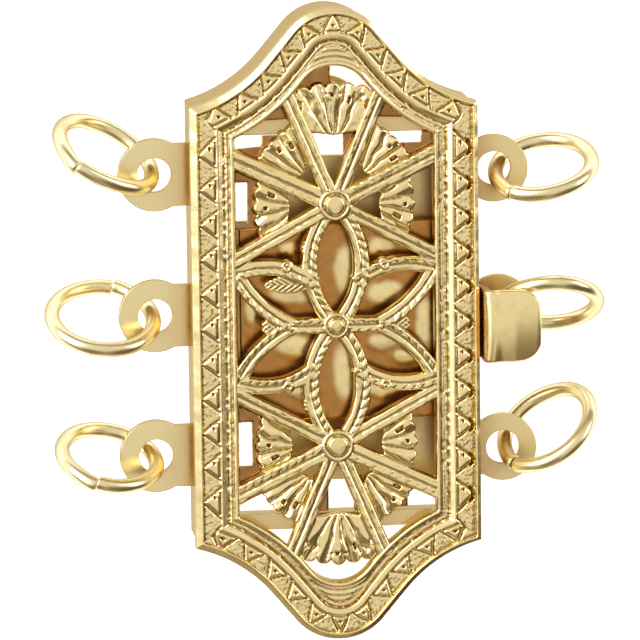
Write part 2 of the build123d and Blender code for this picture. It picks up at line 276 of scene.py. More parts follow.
def rim_height(x, y):
    """Top of the rim: polished border, engraved teeth, ridge, dashed groove, grained shelf and inner rail."""
    depth = outline_depth(x, y)
    lip = -outline_depth(x, y, rim_width, crown_radius)
    run = rim_run(x, y)
    tooth = np.interp(run, tooth_runs, tooth_numbers)
    swing = (tooth - np.round(tooth)) * tooth_length
    aside = np.abs(swing)
    on_side = np.clip((side_end - np.abs(y)) / side_blend, 0, 1)
    rightness = np.clip(x / half_width, -1, 1)
    leftness = on_side * np.clip(-rightness, 0, 1)
    wander = value_noise(x, y, 0.45, 21)
    grain = value_noise(x, y, 0.08, 5) + 0.6 * value_noise(x, y, 0.045, 6)
    place = depth - side_shift * (1 - rightness) * on_side + 0.008 * wander

    # Teeth with their apex outwards: V cuts along both sides, a small pit, a crescent scoop before the apex
    reach = (place - tooth_apex) / (tooth_base - tooth_apex)
    slant = atan2(tooth_half, tooth_base - tooth_apex)
    edge = (aside + 0.02 * wander - tooth_half * reach) * cos(slant)
    face = band_face + 0.03 * np.clip(-edge / 0.1, 0, 1) + 0.03 * np.clip(reach, 0, 1)
    ground = band_face - 0.015 + 0.014 * grain
    band = np.where(edge < 0, face, ground)
    band = band - (tooth_cut - 0.055 * leftness) * ditch(edge - cut_outset, cut_half)
    up = swing * np.sign(y)
    band = band - pit_depth * dome(np.hypot((up - 0.17 * on_side) / 1.5, place - pit_place), cut_half)
    outer_arc = np.hypot(aside / 0.29, (place - 0.47) / 0.26)
    inner_arc = np.hypot(aside / 0.27, (place - 0.56) / 0.17)
    scoop = np.clip((1 - outer_arc) / 0.2, 0, 1) * np.clip((inner_arc - 1) / 0.25, 0, 1)
    band = band - scoop_depth * on_side * np.clip(0.2 + rightness, 0, 1) * scoop
    band = band - 0.09 * ditch(place - tooth_apex, cut_half) * np.clip((aside - 0.2) / 0.05, 0, 1)

    # Border, groove behind the teeth and ridge
    crest = 0.21 - 0.06 * rightness
    fall = np.where(depth < crest, border_slope * (crest - depth), border_fall * (depth - crest))
    border = border_top - fall
    height = np.where(depth < crest, border, np.where(depth < band_end, np.maximum(band, border), band))
    base_cut = np.clip((0.4 - aside) / 0.05, 0, 1) * (1 - 0.3 * on_side * (1 + rightness) / 2)
    height = height - (base_groove_depth + 0.06 * leftness) * base_cut * ditch(place - base_groove, 0.045)
    inward = (0.15 + 0.43 * on_side) * (place - ridge_crest)
    ridge = band_face + 0.05 - np.where(place < ridge_crest, 0.3 * (ridge_crest - place), inward)
    ridge_side = np.where(place > ridge_full, ridge, np.minimum(ridge, height))
    height = np.where(place > ridge_start, ridge_side, height)

    # Shelf with its dashed groove, and the inner rail with the curves of the two points
    shelf = band_face - 0.05 + 0.012 * np.cos(2 * pi * place / shelf_line_pitch) + 0.008 * grain
    height = np.where(place > shelf_start, shelf, height)
    dash = np.clip(0.75 + 0.5 * value_noise(run, 0 * run, 0.16, 41) + 0.3 * wander, 0.25, 1)
    height = height - dash_depth * dash * ditch(place - dash_place, cut_half)
    height = height - 0.06 * (1 - dash) * ditch(place - fine_line, cut_half)
    arch = band_face - 0.03 + 0.02 * np.cos(2 * pi * lip / 0.22) + 0.006 * grain
    inner = np.where(lip < rail_end, band_face - 0.09 + 0.1 * dome(lip - 0.1, 0.11), arch)
    height = np.where(depth > rail_start, inner, height)
    return height + 0.008 * wander - edge_drop(lip)


def segment_place(x, y, start, end):
    """Across, along and length of a straight line, for points of the plane."""
    run = (end[0] - start[0], end[1] - start[1])
    length = hypot(*run)
    along = ((x - start[0]) * run[0] + (y - start[1]) * run[1]) / length
    across = ((y - start[1]) * run[0] - (x - start[0]) * run[1]) / length
    return across, along, length


def arc_place(x, y, start, middle, end):
    """Across, along and length of the arc through three points, for points of the plane."""
    half_x = (start[0] + end[0]) / 2
    half_y = (start[1] + end[1]) / 2
    chord = hypot(end[0] - start[0], end[1] - start[1])
    normal = ((start[1] - end[1]) / chord, (end[0] - start[0]) / chord)
    offset_x = middle[0] - start[0]
    offset_y = middle[1] - start[1]
    lean = 2 * (offset_x * normal[0] + offset_y * normal[1])
    to_half = (half_x - start[0], half_y - start[1])
    shift = (offset_x**2 + offset_y**2 - 2 * (offset_x * to_half[0] + offset_y * to_half[1])) / lean
    centre = (half_x + normal[0] * shift, half_y + normal[1] * shift)
    radius = hypot(start[0] - centre[0], start[1] - centre[1])
    first = atan2(start[1] - centre[1], start[0] - centre[0])
    last = atan2(end[1] - centre[1], end[0] - centre[0])
    through = atan2(middle[1] - centre[1], middle[0] - centre[0])
    forward = (last - first) % (2 * pi)
    turn = forward if (through - first) % (2 * pi) < forward else forward - 2 * pi
    heading = 1 if turn > 0 else -1
    angle = np.arctan2(y - centre[1], x - centre[0]) - (first + turn / 2)
    angle = (angle + pi) % (2 * pi) - pi
    along = radius * (angle * heading + abs(turn) / 2)
    across = heading * (radius - np.hypot(x - centre[0], y - centre[1]))
    return across, along, radius * abs(turn)


def rib(place, half, rope_side, bead_share):
    """Field and height of a rib: a smooth rail beside a rope of beads, a fine groove between them."""
    across, along, length = place
    wander = 0.3 * np.sin(3.1 * along) + 0.2 * np.sin(7.3 * along + 1)
    half = half * (1 + 0.06 * wander)
    field = np.maximum(np.abs(across) - half, np.maximum(-along, along - length))
    rail = half * rail_share
    slant = rope_slant * across * rope_side
    beads = np.sqrt(np.abs(np.sin(pi * (along + slant + 0.05 * wander) / rope_pitch)))
    smooth = band_profile(across + rope_side * rail, 0.97 * rail)
    rope = band_profile(across - rope_side * rail, 0.97 * rail) * (1 - bead_share + bead_share * beads)
    streak = value_noise(along, 5 * across + 30 * rope_side, 0.35, 61)
    streak = streak + 0.5 * value_noise(along, 9 * across, 0.2, 62)
    lean = 0.03 * rope_side * across / half + 0.012 * streak
    return field, rib_face + lean + rail_rise * np.maximum(smooth, rope)


def hub(x, y, radius, bead):
    """Field and height of a collar with a flat-faced bead in it."""
    away = np.hypot(x, y)
    collar = collar_face + 0.13 * band_profile(away - (radius + bead) / 2, (radius - bead) / 2)
    cap = cap_face + 0.16 * np.sin(pi / 2 * np.clip((bead - away) / 0.15, 0, 1)) - 0.05 * (away / bead) ** 2
    return away - radius, np.where(away < bead, cap, collar)


def polygon_field(x, y, corners):
    """Signed distance to a polygon, negative inside."""
    nearest = np.full(x.shape, 1e9)
    inside = np.zeros(x.shape, bool)
    for (ax, ay), (bx, by) in zip(corners, (*corners[1:], corners[0])):
        run_x = bx - ax
        run_y = by - ay
        share = np.clip(((x - ax) * run_x + (y - ay) * run_y) / (run_x**2 + run_y**2), 0, 1)
        nearest = np.minimum(nearest, np.hypot(x - ax - share * run_x, y - ay - share * run_y))
        crosses = ((ay > y) != (by > y)) & (x < ax + (y - ay) * run_x / (run_y or 1e-12))
        inside = inside ^ crosses
    return np.where(inside, -nearest, nearest)


def fan_shape(x, y, fan):
    """Field and height of one scallop of five lobes, its axis along X from the hub."""
    edge = radians(fan["gap"] - fan_edge_angle)
    spread = radians(fan["spread"])
    tip = fan["outer"] - lobe_radius

    def polar(radius, angle):
        return (radius * cos(angle), radius * sin(angle))

    corners = [polar(fan["inner"], 0), polar(fan["inner"] + fan_throat, edge), polar(fan["middle"], edge)]
    corners += [polar(tip, spread), polar(tip, -spread)]
    corners += [polar(fan["middle"], -edge), polar(fan["inner"] + fan_throat, -edge)]
    field = polygon_field(x, y, corners)
    for index in range(lobe_count):
        lobe_x, lobe_y = polar(tip, spread * (2 * index / (lobe_count - 1) - 1))
        field = np.minimum(field, np.hypot(x - lobe_x, y - lobe_y) - lobe_radius)
    focus = fan["inner"] - fan_focus
    out = np.hypot(x - focus, y)
    angle = np.arctan2(y, x - focus)
    tip_angle = atan2(tip * sin(spread), tip * cos(spread) - focus)
    step = 2 * tip_angle / (groove_count - 1)
    wander = value_noise(x + 7 * fan["angle"], y, 0.4, 51)
    limit = (groove_count - 1) / 2
    lobe = np.clip(angle / step + 0.12 * wander, -limit - 0.6, limit + 0.6)
    number = np.round(lobe)
    swing = lobe - number
    reach = np.clip((out - 0.3) / (fan["outer"] - focus - 0.3), 0, 1)
    between = np.exp(-(((0.5 - np.abs(swing)) / 0.07) ** 2)) * np.clip(1.1 - reach + 0.5 * wander, 0, 1)
    swell = 0.05 * np.cos(2 * pi * swing) * reach
    height = low_face + 0.06 * reach + swell + 0.03 * np.cos(pi * number) * reach
    height = height - groove_depth * between - 0.05 * np.clip((reach - 0.7) / 0.3, 0, 1)
    height = height + 0.012 * value_noise(out, 9 * swing, 0.5, 63)
    pit_out = fan["outer"] - focus - 0.42 - 0.16 * (number % 2) + 0.06 * wander
    pit_across = np.abs(swing * step * out) * 1.1
    pit_along = np.abs(out - pit_out) / (1 + 0.8 * (number % 2))
    pit = np.clip((fan_pit_half - np.maximum(pit_along, pit_across)) / 0.04, 0, 1)
    return field, height - fan_pit_depth * pit * (number != 1)


def leaf_shape(x, y, root, tip, half):
    """Field and height of a small pointed leaf with engraved veins."""
    across, along, length = segment_place(x, y, root, tip)
    share = np.clip(along / length, 0, 1)
    width = half * np.sin(pi * share) ** 0.7 + 0.02
    field = np.maximum(np.abs(across) - width, np.maximum(-along, along - length))
    veins = 0.025 * np.cos(2 * pi * (np.abs(across) * 1.5 - along) / 0.26)
    return field, low_face + 0.1 * dome(across, half * 1.1) + veins


def curl_shape(x, y, radius):
    """Field and height of a small coiled knob with a dot in it."""
    away = np.hypot(x, y)
    coil = 0.08 * np.cos(2 * pi * (away / radius * 1.25 - np.arctan2(y, x) / (2 * pi)))
    return away - radius, curl_face + 0.08 * dome(away, radius) + 0.5 * coil - 0.15 * dome(away, 0.06)


def filigree(x, y):
    """Field (negative in the metal) and height of the pierced work."""
    field = np.full(x.shape, 9.0)
    height = np.full(x.shape, filigree_bottom + 0.05)

    def add(shape):
        nonlocal field, height
        shape_field, shape_height = shape
        shape_height = shape_height - edge_drop(-shape_field)
        height = np.where(shape_field < 0.02, np.maximum(height, shape_height), height)
        field = np.minimum(field, shape_field)

    add(leaf_shape(x, y, *feather))
    for corners in webs:
        add((polygon_field(x, y, corners), np.full(x.shape, web_top)))
    for side_y in (1, -1):
        away = side_y * y
        up = away - hub_y
        for fan in fans:
            turn = radians(fan["angle"])
            add(fan_shape(x * cos(turn) + up * sin(turn), up * cos(turn) - x * sin(turn), fan))
        for side_x in (1, -1):
            across = side_x * x
            for root, tip, width in leaves:
                add(leaf_shape(across, away, root, tip, width))
            for centre, radius in curls:
                add(curl_shape(across - centre[0], away - centre[1], radius))
            for angle, half, bead_share in spokes:
                end = (peak_y * cos(radians(angle)), hub_y + peak_y * sin(radians(angle)))
                add(rib(segment_place(across, away, hub_place, end), half, side_x, bead_share))
            petal = arc_place(across, away, (0, 0), (petal_half_width, hub_y / 2), hub_place)
            add(rib(petal, rib_half, -side_x, petal_beads))
            upper_sepal = arc_place(across, away, sepal_root, sepal_crest, sepal_tip)
            add(rib(upper_sepal, rib_half, side_x, sepal_beads))
            add(rib(segment_place(across, away, (0, 0), stem_end), rib_half, 1, stem_beads))
            lower_sepal = arc_place(across, away, stem_end, sepal_belly, sepal_tip)
            add(rib(lower_sepal, rib_half, -1, petal_beads))
        add(hub(x, up, hub_radius, hub_bead))
    add(hub(x, y, centre_radius, centre_bead))
    limit = -outline_depth(x, y, rim_width - rim_overlap, crown_radius)
    field = np.maximum(field, limit)
    return field, height + 0.006 * value_noise(x, y, 0.16, 9)


def rim_field(x, y):
    """Field of the rim, negative in the metal."""
    return np.maximum(-outline_depth(x, y), outline_depth(x, y, rim_width, crown_radius))


def filigree_field(x, y):
    return filigree(x, y)[0]


def filigree_height(x, y):
    return filigree(x, y)[1]


def snapped_grid(field_of):
    """Grid points, those close to the outline moved onto it, and their field."""
    columns = np.arange(-half_width - 2 * relief_step, half_width + 2 * relief_step, relief_step)
    rows = np.arange(-peak_y - 2 * relief_step, peak_y + 2 * relief_step, relief_step)
    x, y = np.meshgrid(columns, rows)
    field = field_of(x, y)
    near = np.abs(field) < snap_share * relief_step
    step = relief_step / 20
    near_x = x[near]
    near_y = y[near]
    slope_x = (field_of(near_x + step, near_y) - field_of(near_x - step, near_y)) / (2 * step)
    slope_y = (field_of(near_x, near_y + step) - field_of(near_x, near_y - step)) / (2 * step)
    steep = np.maximum(slope_x**2 + slope_y**2, 0.25)
    x[near] = near_x - field[near] * slope_x / steep
    y[near] = near_y - field[near] * slope_y / steep
    field[near] = 0
    return x, y, field


def top_faces(x, y, field):
    """Faces that cover the inside of the outline, and the points they use."""
    rows, columns = field.shape
    flat_x = x.ravel()
    flat_y = y.ravel()
    flat_field = field.ravel()
    inside = field <= 0
    number = np.arange(rows * columns).reshape(rows, columns)
    corners = np.stack([number[:-1, :-1], number[:-1, 1:], number[1:, 1:], number[1:, :-1]], axis=-1)
    held = np.stack([inside[:-1, :-1], inside[:-1, 1:], inside[1:, 1:], inside[1:, :-1]], axis=-1)
    count = held.sum(axis=-1)
    faces = corners[count == 4].tolist()
    crossings = {}
    extra = []

    def crossing(kept, left_out):
        if flat_field[kept] == 0:
            return kept
        key = (kept, left_out)
        if key not in crossings:
            share = flat_field[kept] / (flat_field[kept] - flat_field[left_out])
            crossings[key] = rows * columns + len(extra)
            extra.append((flat_x[kept] + share * (flat_x[left_out] - flat_x[kept]),
                          flat_y[kept] + share * (flat_y[left_out] - flat_y[kept])))
        return crossings[key]

    mixed = (count > 0) & (count < 4)
    for cell, kept in zip(corners[mixed].tolist(), held[mixed].tolist()):
        ring = []
        for index in range(4):
            here, there = cell[index], cell[(index + 1) % 4]
            if kept[index]:
                ring.append(here)
            if kept[index] != kept[(index + 1) % 4]:
                ring.append(crossing(here, there) if kept[index] else crossing(there, here))
        face = [point for index, point in enumerate(ring) if point != ring[index - 1]]
        if len(set(face)) > 2 and len(set(face)) == len(face):
            faces.append(face)
    extra = np.array(extra)
    return np.concatenate([flat_x, extra[:, 0]]), np.concatenate([flat_y, extra[:, 1]]), faces


def relief_piece(name, field_of, height_of, lowest):
    """Closed mesh with a carved top, upright walls and a flat underside."""
    x, y, faces = top_faces(*snapped_grid(field_of))
    used = sorted({point for face in faces for point in face})
    renumber = np.full(len(x), -1)
    renumber[used] = np.arange(len(used))
    x = x[used]
    y = y[used]
    faces = [[int(renumber[point]) for point in face] for face in faces]
    spots = [(0, 0), (sample_spread, 0), (-sample_spread, 0), (0, sample_spread), (0, -sample_spread)]
    z = sum(height_of(x + dx, y + dy) for dx, dy in spots) / len(spots)
    turns = [2 * pi * number / cavity_samples for number in range(cavity_samples)]
    ring = [height_of(x + cavity_reach * cos(turn), y + cavity_reach * sin(turn)) for turn in turns]
    around = sum(ring) / cavity_samples
    # Painted shade: points lower than the metal round them are browned, and the low webs are browned all over
    deep = np.clip((web_shade_height - z) / 0.05, 0, 1) * (0.93 + 0.07 * value_noise(x, y, 0.3, 71))
    painted_shade_level = np.maximum(np.clip((around - z) / cavity_depth, 0, 1), deep)
    directed = {(face[index - 1], face[index]) for face in faces for index in range(len(face))}
    border = sorted(edge for edge in directed if (edge[1], edge[0]) not in directed)
    foot = {point: len(x) + index for index, point in enumerate(sorted({edge[0] for edge in border}))}
    faces += [[end, start, foot[start], foot[end]] for start, end in border]
    faces += underside(x, y, border, foot)
    floor = [(x[point], y[point], lowest) for point in foot]
    points = np.concatenate([np.column_stack([x, y, z]), np.array(floor)]) * MM
    mesh = bpy.data.meshes.new(name)
    mesh.from_pydata(points.tolist(), [], faces)
    mesh.polygons.foreach_set("use_smooth", [True] * len(mesh.polygons))
    rim_edges = {frozenset(edge) for edge in border}
    for edge in mesh.edges:
        edge.use_edge_sharp = min(edge.vertices) >= len(x) or frozenset(edge.vertices) in rim_edges
    shade = mesh.attributes.new("painted_shade_level", "FLOAT", "POINT")
    shade.data.foreach_set("value", np.concatenate([painted_shade_level, np.zeros(len(floor))]))
    piece = bpy.data.objects.new(name, mesh)
    bpy.context.scene.collection.objects.link(piece)
    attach(piece, "box")
    return piece


def underside(x, y, border, foot):
    """Triangles of the flat underside inside the border, facing down."""
    order = list(foot)
    place = {point: index for index, point in enumerate(order)}
    spots = [Vector((x[point], y[point])) for point in order]
    edges = [(place[start], place[end]) for start, end in border]
    result = delaunay_2d_cdt(spots, edges, [], 0, 1e-7)
    origin = [source[0] if source else -1 for source in result[3]]
    triangles = [tuple(origin[corner] for corner in face) for face in result[2]]
    limits = {frozenset(edge) for edge in edges}
    directed = set(edges)
    sides = {}
    for number, triangle in enumerate(triangles):
        for index in range(3):
            sides.setdefault(frozenset((triangle[index - 1], triangle[index])), []).append(number)
    queue = [
        number
        for number, triangle in enumerate(triangles)
        if any((triangle[index - 1], triangle[index]) in directed for index in range(3))
    ]
    kept = set(queue)
    while queue:
        triangle = triangles[queue.pop()]
        for index in range(3):
            side = frozenset((triangle[index - 1], triangle[index]))
            if side in limits:
                continue
            for neighbour in sides[side]:
                if neighbour not in kept:
                    kept.add(neighbour)
                    queue.append(neighbour)
    return [[foot[order[corner]] for corner in reversed(triangles[number])] for number in sorted(kept)]


def loft(name, loops):
    """Closed mesh through a row of closed loops of points in millimetres."""
    count, around = loops.shape[:2]
    faces = []
    for row in range(count - 1):
        for index in range(around):
            here = row * around + index
            side = row * around + (index + 1) % around
            faces.append([here, side, side + around, here + around])
    faces.append(list(range(around))[::-1])
    faces.append([(count - 1) * around + index for index in range(around)])
    mesh = bpy.data.meshes.new(name)
    mesh.from_pydata((loops.reshape(-1, 3) * MM).tolist(), [], faces)
    mesh.polygons.foreach_set("use_smooth", [True] * len(mesh.polygons))
    mesh.set_sharp_from_angle(angle=radians(40))
    piece = bpy.data.objects.new(name, mesh)
    bpy.context.scene.collection.objects.link(piece)
    return piece


# Jump rings, with the places that the part gives them
lug_pitch = 5.45
left_lugs = {"x": -6.8, "y": 0.33, "skew": -0.5, "z": 1.75}
right_lugs = {"x": 6.5, "y": 0.19, "skew": 1.35, "z": 1.45}
ring_radius = 1.87
wire_radius = 0.29
ring_play = 0.1
ring_gap = radians(1.2)
flat_reach = radians(38)
ring_steps = 150
wire_sides = 28
point_reach = 0.3
burr_reach = 0.012

# Turn and raise of the whole ring, lean of its plane and the place of its cut are in degrees. Point at the cut,
# depth of the flat run and stretch away from the lug are shares of the radius, and slip is in millimetres.
rings = [
    {"name": "left_top", "row": 1, "turn": 25, "raise": 10.5, "lean": -66, "cut": 50,
     "point": 0.07, "slip": 0.05, "flat": (98, 0.1), "stretch": 0.12},
    {"name": "left_middle", "row": 0, "turn": 1, "raise": 8.5, "lean": -61, "cut": -110,
     "point": 0.03, "slip": -0.04, "flat": (-60, 0.04), "stretch": 0.1},
    {"name": "left_bottom", "row": -1, "turn": 3, "raise": 20, "lean": -64, "cut": 54,
     "point": 0.04, "slip": 0.05, "flat": (110, 0.05), "stretch": 0.0},
    {"name": "right_top", "row": 1, "turn": 2, "raise": 21, "lean": -64, "cut": 118,
     "point": 0.03, "slip": 0.04, "flat": (60, 0.04), "stretch": 0.0},
    {"name": "right_middle", "row": 0, "turn": 6, "raise": 14, "lean": 55, "cut": 170,
     "point": 0.02, "slip": 0.03, "flat": (110, 0.06), "stretch": 0.0},
    {"name": "right_bottom", "row": -1, "turn": 27, "raise": 20, "lean": -62, "cut": 140,
     "point": 0.04, "slip": -0.05, "flat": (-95, 0.05), "stretch": 0.0},
]


def ring_piece(row):
    """Jump ring of round wire whose cut ends meet in a slight point."""
    left = row["name"].startswith("left")
    side = -1 if left else 1
    lugs = left_lugs if left else right_lugs
    turn = radians(row["turn"])
    rise = radians(row["raise"])
    lean = radians(abs(row["lean"]))
    facing = 1 if row["lean"] > 0 else -1
    skew = radians(lugs["skew"])
    hole_x = lugs["x"] - sin(skew) * lug_pitch * row["row"]
    hole_y = lugs["y"] + cos(skew) * lug_pitch * row["row"]
    hole = Vector((hole_x, hole_y, lugs["z"]))
    outward = Vector((side * cos(rise) * cos(turn), cos(rise) * sin(turn), sin(rise)))
    level = Vector((-side * sin(turn), cos(turn), 0))
    across = level * facing * cos(lean) + outward.cross(level) * side * sin(lean)
    axis = np.array(outward.cross(across))
    centre = np.array(hole + outward * (ring_radius + ring_play))
    shares = np.concatenate([[0, 0.0012, 0.003], np.linspace(0.006, 0.994, ring_steps), [0.997, 0.9988, 1]])
    section = np.linspace(0, 2 * pi, wire_sides, endpoint=False)
    middle, sink = row["flat"]
    loops = []
    for share in shares:
        angle = radians(row["cut"]) + ring_gap / 2 + (2 * pi - ring_gap) * share
        from_cut = 2 * pi * min(share, 1 - share)
        nearness = np.exp(-((from_cut / point_reach) ** 2))
        radial = np.array(outward) * cos(angle) + np.array(across) * sin(angle)
        from_flat = (angle - radians(middle) + pi) % (2 * pi) - pi
        straight = sink * np.exp(-((from_flat / flat_reach) ** 2))
        oval = row["point"] * nearness - straight + row["stretch"] * cos(angle / 2) ** 2
        radius = ring_radius * (1 + oval + 0.008 * sin(2 * angle + 5 * row["point"]))
        slip = row["slip"] * nearness * (1 if share < 0.5 else -1)
        wire = wire_radius * (1 - 0.1 * np.exp(-from_cut / burr_reach))
        out = radius + wire * np.cos(section)
        lift = slip + wire * np.sin(section)
        loops.append(centre + out[:, None] * radial + lift[:, None] * axis)
    piece = loft(f"wire_ring_{row['name']}", np.array(loops))
    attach(piece, "box" if left else "tongue")
    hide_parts(f"ring_{row['name']}")
    return piece


# Spring leaf and its thumb tab
leaf_start_x = -3.54
leaf_mid_z = 2.175
leaf_half_length = 3.84
shoulder_x = 4.68
riser_x = 5.8
tab_top_z = 3.76
tab_end = (7.85, 3.64)
tab_half_width = 1.4
tab_corner = 0.85
tab_y = -0.18
sheet = 0.35
sheet_edge = 0.1
tab_bow = 0.2
bend_radii = (0.28, 0.28, 1.6)
path_step = 0.085
end_steps = (0.065, 0.035, 0.012, 0)
sheet_points = 91
edge_points = 6
tab_shade_end = 6.15
tab_shade_fade = 0.25
pillow_rise = 0.06

# Ovals of the leaf that are hammered up and painted lit, as pools of light through the openings, the rest of
# the leaf painted in shade: middle and half sizes
raised_lit_ovals = [
    (0.55, 2.0, 0.46, 0.95), (0.48, -1.9, 0.5, 1.1), (-1.6, 1.2, 0.8, 0.4), (2.05, 1.05, 0.72, 0.42),
    (-1.5, -0.9, 0.68, 0.38), (1.9, -0.8, 0.5, 0.32), (2.75, -1.4, 0.42, 0.24), (-1.7, 2.9, 0.32, 0.25),
    (1.85, 2.85, 0.45, 0.35), (3.6, -0.16, 0.42, 0.85), (-1.22, -2.7, 0.45, 0.24), (-0.76, -3.53, 0.35, 0.2),
    (1.85, -2.65, 0.6, 0.28), (-3.2, 0.6, 0.2, 0.5),
]


def rounded_path(corners, radii, step):
    """Points and headings along a line whose corners are rounded."""
    points = []
    headings = []

    def straight(start, end):
        count = max(2, int((end - start).length / step))
        for index in range(count):
            points.append(start.lerp(end, index / count))
            headings.append(atan2(end.y - start.y, end.x - start.x))

    start = Vector(corners[0])
    for index, radius in enumerate(radii, 1):
        corner = Vector(corners[index])
        before = (corner - Vector(corners[index - 1])).normalized()
        after = (Vector(corners[index + 1]) - corner).normalized()
        turn = atan2(before.x * after.y - before.y * after.x, before.dot(after))
        reach = radius * abs(sin(turn / 2) / cos(turn / 2))
        straight(start, corner - before * reach)
        side = 1 if turn > 0 else -1
        centre = corner - before * reach + Vector((-before.y, before.x)) * radius * side
        count = max(3, int(abs(turn) * radius / (0.5 * step)), int(abs(turn) / 0.12))
        for number in range(count):
            heading = atan2(before.y, before.x) + turn * number / count
            points.append(centre + Vector((sin(heading), -cos(heading))) * radius * side)
            headings.append(heading)
        start = corner + after * reach
    end = Vector(corners[-1])
    straight(start, end)
    points.append(end)
    headings.append(headings[-1])
    return points, headings


def spot(x, y, patch, softness):
    """1 inside an oval patch of the sheet, 0 outside it."""
    centre_x, centre_y, half_x, half_y = patch
    away = np.hypot((x - centre_x) / half_x, (y - centre_y) / half_y)
    return np.clip((1 + softness / 2 - away) / softness, 0, 1)


def sheet_lit_share(x, y):
    """Share of the leaf under the pierced work that is painted lit, the rest is painted in shade."""
    wander = 0.06 * value_noise(x, y, 0.3, 33)
    lit_share = np.max([spot(x + wander, y - wander, patch, 0.6) for patch in raised_lit_ovals], axis=0)
    return lit_share * lit_share * (3 - 2 * lit_share)


def leaf_wave(x, y):
    """Uneven hammered surface of the leaf under the pierced work."""
    pillows = np.max([spot(x, y, patch, 1.4) for patch in raised_lit_ovals], axis=0)
    return 0.015 * value_noise(x, y, 0.9, 31) + pillow_rise * pillows


def leaf_piece():
    """Spring leaf bent from one sheet, with a cushion-shaped thumb tab."""
    middle = ((riser_x + tab_end[0]) / 2, tab_top_z)
    corners = [(leaf_start_x, leaf_mid_z), (riser_x, leaf_mid_z), (riser_x, tab_top_z), middle, tab_end]
    points, headings = rounded_path(corners, bend_radii, path_step)
    last = points.pop()
    points = points[:-1] + [last - Vector((cos(headings[-1]), sin(headings[-1]))) * gap for gap in end_steps]
    headings = headings[:len(points)] + [headings[-1]] * (len(points) - len(headings))
    top = np.linspace(-1, 1, sheet_points)
    round_angle = np.linspace(0, pi, edge_points + 2)[1:-1]
    upper = round_angle < pi / 2
    first_edge = slice(sheet_points, sheet_points + edge_points)
    second_edge = slice(2 * sheet_points + edge_points, 2 * (sheet_points + edge_points))
    loops = []
    painted_shade = []
    for point, heading in zip(points, headings):
        from_end = tab_end[0] - point.x
        body = point.x < shoulder_x and point.y < leaf_mid_z + 0.01
        half = leaf_half_length if body else tab_half_width
        if from_end < tab_corner:
            half = tab_half_width - tab_corner + sqrt(max(tab_corner**2 - (tab_corner - from_end) ** 2, 0))
        thick = sheet / 2
        if from_end < sheet_edge:
            thick = sheet / 2 - sheet_edge + sqrt(sheet_edge**2 - (sheet_edge - from_end) ** 2)
        edge = min(sheet_edge, thick)
        flat = half - edge
        y = np.concatenate([top * flat, flat + edge * np.sin(round_angle), -top * flat,
                            -flat - edge * np.sin(round_angle)])
        up = np.concatenate([np.full(top.shape, thick), thick - edge + edge * np.cos(round_angle),
                             np.full(top.shape, -thick), edge - thick - edge * np.cos(round_angle)])
        up[first_edge] = np.where(upper, thick - edge, edge - thick) + edge * np.cos(round_angle)
        up[second_edge] = np.where(upper, edge - thick, thick - edge) - edge * np.cos(round_angle)
        x = point.x - up * sin(heading)
        z = point.y + up * cos(heading)
        if body:
            fade = np.clip(min(point.x - leaf_start_x, shoulder_x - point.x) / 0.5, 0, 1)
            z = z + fade * leaf_wave(x, y)
            # Painted shade on the leaf under the pierced work, lighter in the lit ovals, with a little random
            # tone
            brown = 0.95 - 0.95 * sheet_lit_share(x, y) + 0.05 * value_noise(x, y, 0.12, 35)
        else:
            share = np.clip((point.x - riser_x) / 0.5, 0, 1)
            z = z - tab_bow * share * (y / tab_half_width) ** 2
            y = y + tab_y
            # Painted shade on the riser and the start of the tab, beside the box wall
            brown = np.clip((tab_shade_end - x) / tab_shade_fade, 0, 1)
        loops.append(np.column_stack([x, y, z]))
        painted_shade.append(brown)
    piece = loft("leaf_sheet", np.array(loops)[:, ::-1])
    shade = piece.data.attributes.new("painted_shade_level", "FLOAT", "POINT")
    shade.data.foreach_set("value", np.clip(np.array(painted_shade)[:, ::-1], 0, 1).ravel())
    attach(piece, "leaf")
    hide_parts("spring_leaf")
    return piece


# Colours
GOLD = (0.95, 0.81, 0.45)
CAST_GOLD = (0.97, 0.83, 0.44)
LUG_GOLD = (0.9, 0.78, 0.44)
WIRE_GOLD = (0.86, 0.76, 0.47)
# Browns painted as shade: in the hollows and webs of the cover, in the corners and on the walls of box and
# tongue, and on the leaf under the cover
RECESS_SHADE = (0.34, 0.16, 0.045)
BOX_AND_TONGUE_SHADE = (0.5, 0.25, 0.07)
SHEET_SHADE = (0.46, 0.21, 0.05)
EDGE = (0.95, 0.84, 0.6)

# How the occlusion that paints brown shade into the hidden corners is taken, in samples and millimetres
occlusion_samples = 8
corner_shade_reach = 1.6


def principled(name, base, roughness, metallic=1.0):
    """New node material and its Principled shader."""
    material = bpy.data.materials.new(name)
    material.use_nodes = True
    shader = material.node_tree.nodes["Principled BSDF"]
    shader.inputs["Base Color"].default_value = (*base, 1)
    shader.inputs["Metallic"].default_value = metallic
    shader.inputs["Specular Tint"].default_value = (*EDGE, 1)
    shader.inputs["Roughness"].default_value = roughness
    return material, shader


